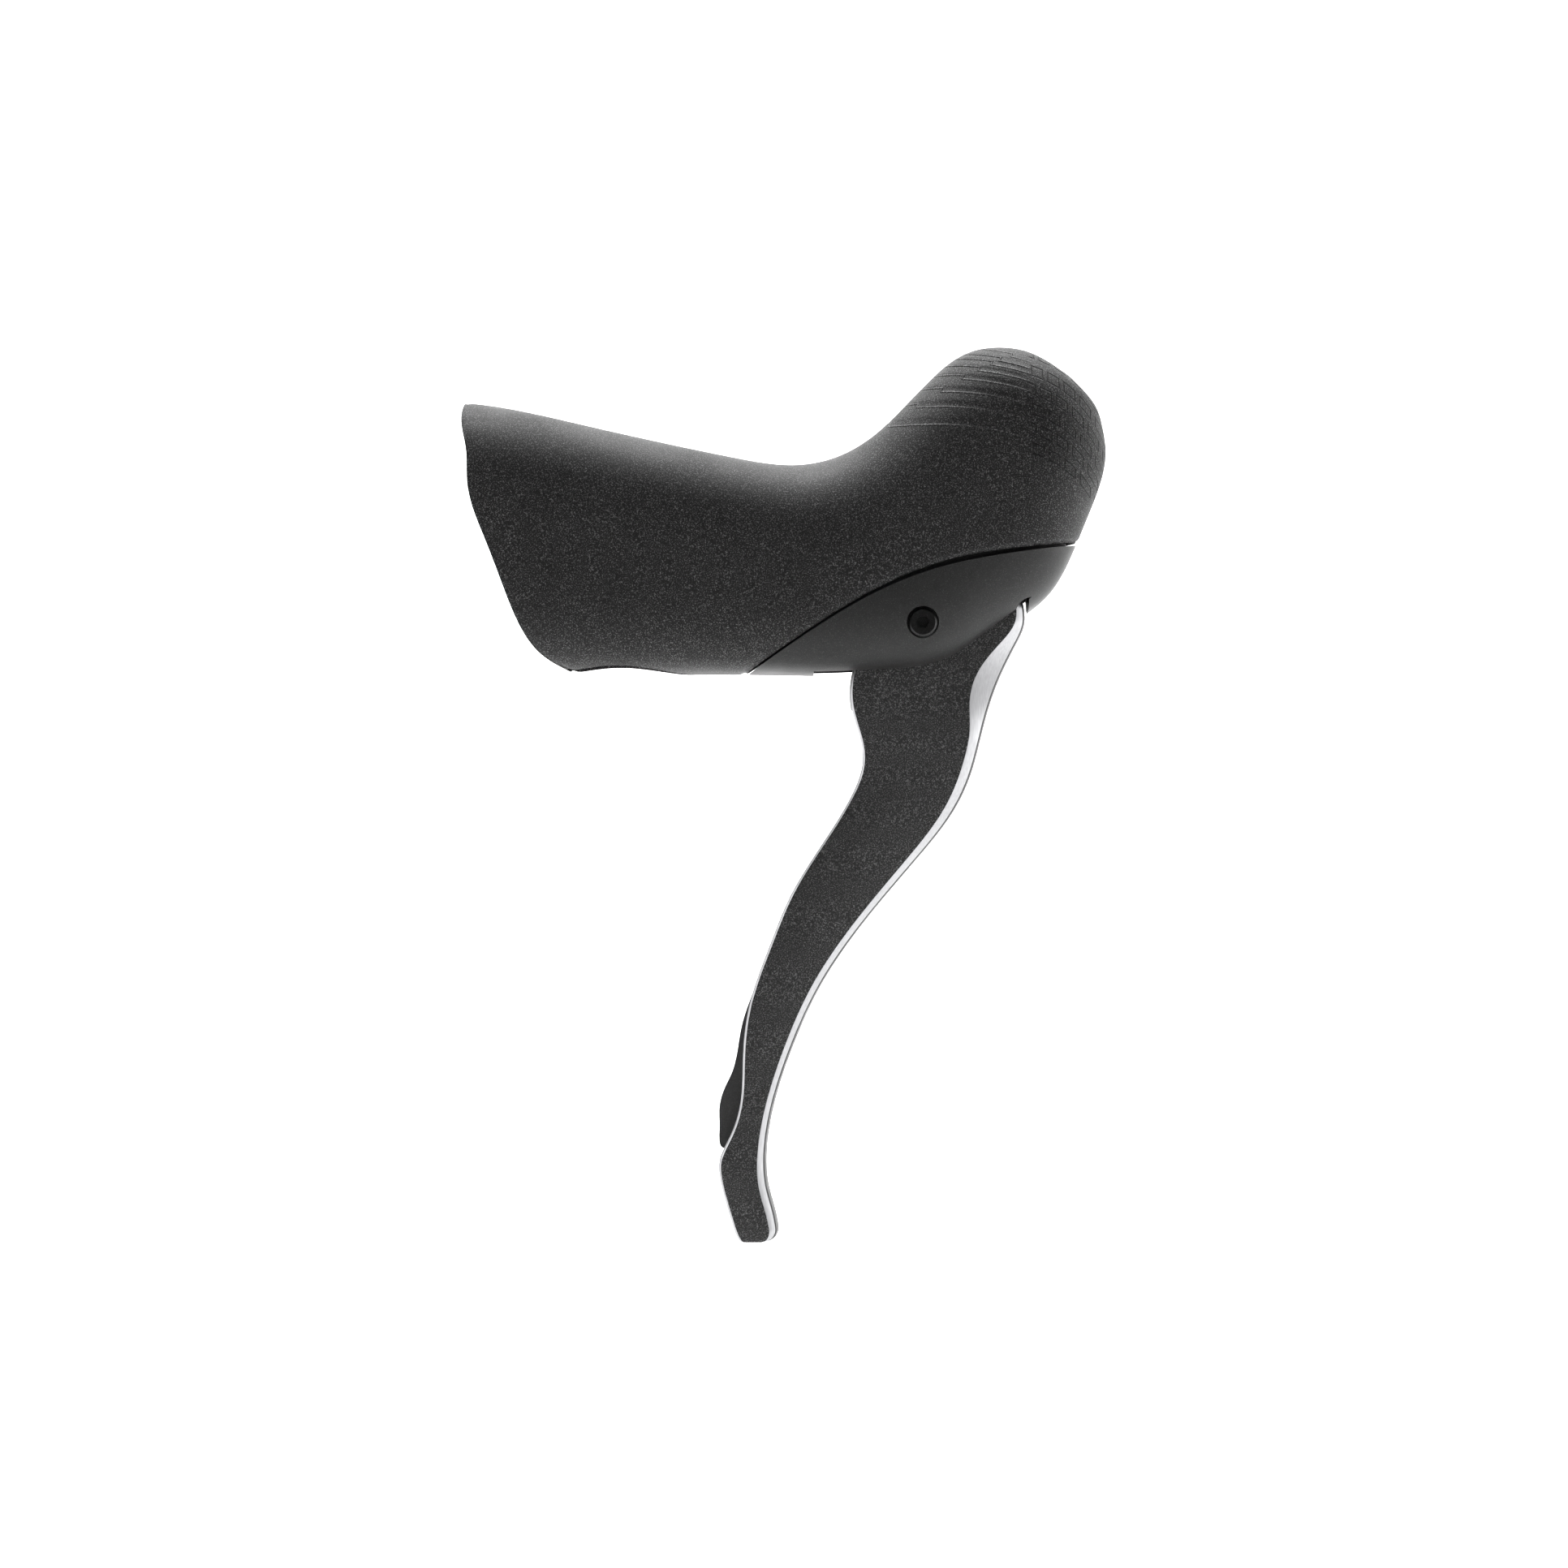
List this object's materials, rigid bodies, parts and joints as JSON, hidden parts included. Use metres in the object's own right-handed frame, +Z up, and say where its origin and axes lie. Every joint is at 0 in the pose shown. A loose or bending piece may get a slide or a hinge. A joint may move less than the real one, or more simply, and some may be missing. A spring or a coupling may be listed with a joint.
{
  "type": "brake shift lever",
  "caption": "Right-hand drop-bar brake and shift lever with a rubber hood, hydraulic core, hinged blade and shift paddles.",
  "frame": {"origin": "centre of the handlebar clamp, on the bar's axis", "axes": "+Z up with the blade hanging down, +X forward towards the knob, +Y inboard towards the stem"},
  "size_m": [0.1128, 0.037, 0.157],
  "materials": {
    "hood_rubber": "matt, fine sparkle grain",
    "body_resin": "matt moulded",
    "lever_paint": "dark speckled satin with a bright machined bevel",
    "paddle_plastic": "satin",
    "steel": "turned",
    "black_steel": "black oxide",
    "spring_steel": "drawn wire",
    "cell_steel": "bright",
    "aluminium_body": "anodised",
    "brass": "turned",
    "seal_rubber": "smooth",
    "bush_plastic": "moulded",
    "circuit_board": "solder mask",
    "component_plastic": "moulded",
    "button_rubber": "satin",
    "light_lens": "translucent"
  },
  "bodies": {
    "bracket": {"hood_cover": "hood_rubber", "bracket_body": "body_resin", "clamp_band": "steel", "clamp_yoke": "steel", "clamp_bolt": "black_steel", "clamp_washer": "steel", "hose_insert": "brass", "hose_nut": "black_steel", "control_board": "circuit_board", "board_components": "component_plastic", "battery_clip": "spring_steel", "coin_cell": "cell_steel", "door_seal": "seal_rubber", "battery_door": "body_resin", "door_screws": "black_steel", "mode_switch": "component_plastic", "status_led": "light_lens", "pivot_axle": "steel", "pivot_screw": "black_steel", "pivot_bushes": "bush_plastic", "return_spring": "spring_steel", "master_cylinder": "aluminium_body", "reservoir_bladder": "seal_rubber", "reservoir_cap": "bush_plastic", "cap_screws": "black_steel", "bleed_screw": "steel", "bleed_seal": "seal_rubber", "piston_spring": "spring_steel"},
    "brake_lever": {"brake_lever": "lever_paint", "reach_adjust_screw": "black_steel", "cam_roller": "steel", "roller_pin": "steel", "paddle_pin": "steel", "upper_paddle_spring": "spring_steel", "lower_paddle_spring": "spring_steel", "switch_module": "component_plastic"},
    "piston": {"master_piston": "aluminium_body", "piston_seals": "seal_rubber", "push_rod": "steel"},
    "upper_paddle": {"upper_shift_paddle": "paddle_plastic"},
    "lower_paddle": {"lower_shift_paddle": "paddle_plastic"},
    "mode_button": {"mode_button": "button_rubber"}
  },
  "joints": [
    {"name": "brake_pivot", "type": "hinge", "parent": "bracket", "child": "brake_lever", "pos_m": [0.0604, 0, -0.0113], "axis": [0, 1, 0], "range_deg": [0, 22], "stiffness_Nm_per_rad": 0.8, "springref_deg": -20.05, "deforming": ["return_spring"]},
    {"name": "piston_slide", "type": "slide", "parent": "bracket", "child": "piston", "axis": [0.866, 0, 0.5], "range_m": [0, 0.00578], "deforming": ["piston_spring"]},
    {"name": "upper_paddle_hinge", "type": "hinge", "parent": "brake_lever", "child": "upper_paddle", "pos_m": [0.0545, 0.0026, -0.0375], "axis": [1, 0, 0], "range_deg": [0, 4], "stiffness_Nm_per_rad": 0.03, "springref_deg": -5.73, "deforming": ["upper_paddle_spring"]},
    {"name": "lower_paddle_hinge", "type": "hinge", "parent": "brake_lever", "child": "lower_paddle", "pos_m": [0.0604, 0.0026, -0.0375], "axis": [1, 0, 0], "range_deg": [0, 4], "stiffness_Nm_per_rad": 0.03, "springref_deg": -5.73, "deforming": ["lower_paddle_spring"]},
    {"name": "mode_button_press", "type": "slide", "parent": "bracket", "child": "mode_button", "axis": [0, -1, 0], "range_m": [0, 0.0006], "stiffness_N_per_m": 800, "springref_m": -0.0005}
  ],
  "couplings": [
    {"joint": "piston_slide", "follows": "brake_pivot", "m_per_rad": 0.014908}
  ]
}
